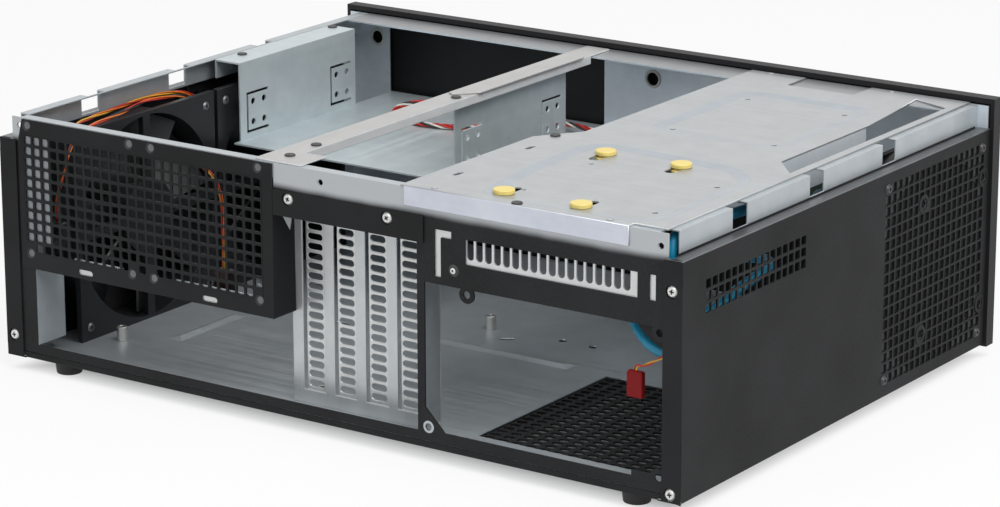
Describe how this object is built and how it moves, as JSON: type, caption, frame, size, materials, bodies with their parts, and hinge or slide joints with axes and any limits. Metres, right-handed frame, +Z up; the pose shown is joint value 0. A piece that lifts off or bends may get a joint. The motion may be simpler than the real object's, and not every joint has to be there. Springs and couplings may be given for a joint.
{
  "type": "desktop computer case",
  "caption": "Low black desktop computer case, top cover off, with drive cage, drive plate, side fans and leads.",
  "frame": {"origin": "on the floor under the middle of the case", "axes": "+X to the left as seen from behind, +Y to the rear panel, +Z up"},
  "size_m": [0.44, 0.325, 0.1478],
  "materials": {
    "black_coat": "fine black powder coat",
    "zinc_sheet": "bare zinc-coated steel sheet",
    "bright_sheet": "bright plated strip",
    "black_moulding": "black moulding",
    "fan_plastic": "black moulding",
    "filter_cloth": "woven cloth",
    "black_screw": "blackened",
    "bright_screw": "bright plated",
    "plated_post": "turned and plated",
    "board_laminate": "green laminate",
    "port_shell": "drawn shell",
    "clear_lens": "tinted",
    "grommet_rubber": "soft",
    "foot_rubber": "soft",
    "lead_black": "sleeved",
    "cable_blue": "satin sheath",
    "plug_black": "moulded",
    "lead_orange": "insulated wire",
    "plug_red": "moulded",
    "lead_red": "insulated wires"
  },
  "bodies": {
    "case": {"side_panel_left": "black_coat", "side_panel_right": "black_coat", "rear_panel": "black_coat", "rear_fan_grille": "black_coat", "card_clamp": "black_coat", "psu_vent_grille": "black_coat", "base_tray": "zinc_sheet", "top_rail_left": "zinc_sheet", "top_rail_right": "zinc_sheet", "front_chassis": "zinc_sheet", "odd_cage": "zinc_sheet", "cage_beam": "zinc_sheet", "beam_strap": "zinc_sheet", "drive_plate": "zinc_sheet", "slot_panel": "zinc_sheet", "vent_strip": "zinc_sheet", "slot_cover_1": "bright_sheet", "slot_cover_2": "bright_sheet", "slot_cover_3": "bright_sheet", "slot_cover_4": "bright_sheet", "bezel": "black_moulding", "drive_bay_cover": "black_moulding", "fan_frame_1": "fan_plastic", "fan_filter_1": "filter_cloth", "fan_frame_2": "fan_plastic", "fan_filter_2": "filter_cloth", "fan_frame_3": "fan_plastic", "fan_filter_3": "filter_cloth", "fan_screws": "black_screw", "rear_screws": "bright_screw", "board_standoffs": "plated_post", "front_board": "board_laminate", "usb_ports": "port_shell", "audio_jacks": "fan_plastic", "led_lens": "clear_lens", "drive_grommets": "grommet_rubber", "foot_rear_left": "foot_rubber", "foot_rear_right": "foot_rubber", "foot_front_left": "foot_rubber", "foot_front_right": "foot_rubber", "fan_lead_1": "lead_black", "fan_lead_2": "lead_black", "fan_plug_1": "plug_black", "fan_plug_2": "plug_red", "usb_cable": "cable_blue", "usb_plug": "plug_black", "switch_lead": "lead_orange", "switch_plug": "plug_red", "panel_lead": "lead_red", "panel_plug": "plug_black"},
    "fan_rotor_1": {"fan_rotor_1": "fan_plastic"},
    "fan_rotor_2": {"fan_rotor_2": "fan_plastic"},
    "fan_rotor_3": {"fan_rotor_3": "fan_plastic"},
    "power_button": {"power_button": "black_moulding"},
    "reset_button": {"reset_button": "black_moulding"}
  },
  "joints": [
    {"name": "fan_spin_1", "type": "hinge", "parent": "case", "child": "fan_rotor_1", "pos_m": [0.2045, 0.07, 0.07], "axis": [1, 0, 0], "continuous": true},
    {"name": "fan_spin_2", "type": "hinge", "parent": "case", "child": "fan_rotor_2", "pos_m": [0.2045, -0.053, 0.07], "axis": [1, 0, 0], "continuous": true},
    {"name": "fan_spin_3", "type": "hinge", "parent": "case", "child": "fan_rotor_3", "pos_m": [-0.2045, -0.093, 0.07], "axis": [1, 0, 0], "continuous": true},
    {"name": "power_press", "type": "slide", "parent": "case", "child": "power_button", "axis": [0, 1, 0], "range_m": [0, 0.0012], "stiffness_N_per_m": 250, "springref_m": -0.001},
    {"name": "reset_press", "type": "slide", "parent": "case", "child": "reset_button", "axis": [0, 1, 0], "range_m": [0, 0.0012], "stiffness_N_per_m": 250, "springref_m": -0.001}
  ]
}
